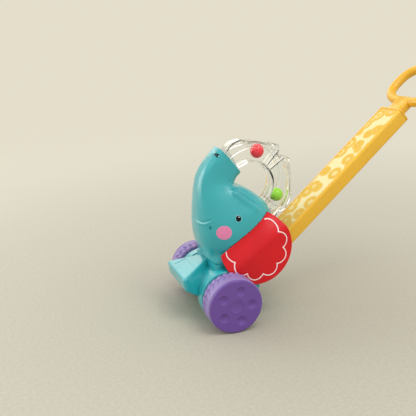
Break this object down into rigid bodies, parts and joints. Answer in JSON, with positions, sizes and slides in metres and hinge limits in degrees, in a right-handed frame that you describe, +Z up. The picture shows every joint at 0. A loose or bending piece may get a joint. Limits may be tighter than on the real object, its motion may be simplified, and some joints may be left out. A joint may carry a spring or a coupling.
{
  "type": "push-along elephant toy",
  "caption": "Elephant on wheels, pushed by a long slanted handle with a loop grip; a clear bead ring turns round its trunk as the wheels roll.",
  "frame": {"origin": "on the floor, under the middle of the toy's overall box", "axes": "+Z up; the elephant faces -Y, so its handle leans away toward +Y; +X is the elephant's left side, the side the picture shows"},
  "size_m": [0.158, 0.383, 0.3088],
  "materials": {
    "teal_plastic": "moulded, slight gloss",
    "purple_plastic": "moulded, slight gloss",
    "lilac_tyre": "soft, semi-matt",
    "red_plastic": "moulded, glossy",
    "yellow_plastic": "moulded, slight gloss",
    "clear_plastic": "clear, polished",
    "green_bead": "glossy",
    "red_bead": "glossy",
    "white_nylon": "moulded, dull",
    "steel": "bright zinc",
    "black_rubber": "dull"
  },
  "bodies": {
    "body": {"head_shell_left": "teal_plastic", "head_shell_right": "teal_plastic", "base_housing": "teal_plastic", "base_cover": "teal_plastic", "cover_screw_1": "steel", "cover_screw_2": "steel", "cover_screw_3": "steel", "cover_screw_4": "steel", "neck_screw_left": "steel", "neck_screw_right": "steel", "trunk_screw": "steel", "cheek_screw": "steel", "rear_screw": "steel", "ear_left": "red_plastic", "ear_right": "red_plastic", "axle_bush_left": "white_nylon", "axle_bush_right": "white_nylon", "idler_pin": "steel", "handle_bar": "yellow_plastic", "handle_pin": "steel", "handle_grip": "yellow_plastic"},
    "wheels": {"axle": "steel", "axle_gear": "white_nylon", "wheel_left": "purple_plastic", "wheel_right": "purple_plastic", "tyre_left": "lilac_tyre", "tyre_right": "lilac_tyre", "wheel_cap_left": "purple_plastic", "wheel_cap_right": "purple_plastic"},
    "idler": {"idler_gear": "white_nylon"},
    "drive_shaft": {"roller_shaft": "steel", "shaft_gear": "white_nylon", "drive_roller_left": "black_rubber", "drive_roller_right": "black_rubber"},
    "ring": {"ring_half_left": "clear_plastic", "ring_half_right": "clear_plastic"},
    "support_left": {"support_roller_left": "white_nylon"},
    "support_right": {"support_roller_right": "white_nylon"},
    "red_bead": {"bead_red": "red_bead"},
    "green_bead": {"bead_green": "green_bead"}
  },
  "joints": [
    {"name": "wheel_spin", "type": "hinge", "parent": "body", "child": "wheels", "pos_m": [0, -0.14, 0.034], "axis": [1, 0, 0], "continuous": true},
    {"name": "idler_spin", "type": "hinge", "parent": "body", "child": "idler", "pos_m": [0, -0.12119, 0.06426], "axis": [1, 0, 0], "continuous": true},
    {"name": "shaft_spin", "type": "hinge", "parent": "body", "child": "drive_shaft", "pos_m": [0, -0.11463, 0.10181], "axis": [1, 0, 0], "continuous": true},
    {"name": "ring_spin", "type": "hinge", "parent": "body", "child": "ring", "pos_m": [0, -0.092, 0.162], "axis": [1, 0, 0], "continuous": true},
    {"name": "support_left_spin", "type": "hinge", "parent": "body", "child": "support_left", "pos_m": [0, -0.07309, 0.11003], "axis": [1, 0, 0], "continuous": true},
    {"name": "support_right_spin", "type": "hinge", "parent": "body", "child": "support_right", "pos_m": [0, -0.07309, 0.11003], "axis": [1, 0, 0], "continuous": true},
    {"name": "red_bead_roll", "type": "hinge", "parent": "ring", "child": "red_bead", "pos_m": [0, -0.092, 0.162], "axis": [1, 0, 0], "range_deg": [-13, 35.5]},
    {"name": "green_bead_roll", "type": "hinge", "parent": "ring", "child": "green_bead", "pos_m": [0, -0.092, 0.162], "axis": [1, 0, 0], "range_deg": [-2, 46.5]}
  ],
  "couplings": [
    {"joint": "idler_spin", "follows": "wheel_spin", "ratio": -0.39024},
    {"joint": "shaft_spin", "follows": "wheel_spin", "ratio": 0.8},
    {"joint": "ring_spin", "follows": "wheel_spin", "ratio": -0.224},
    {"joint": "support_left_spin", "follows": "wheel_spin", "ratio": 2.24},
    {"joint": "support_right_spin", "follows": "wheel_spin", "ratio": 2.24}
  ]
}
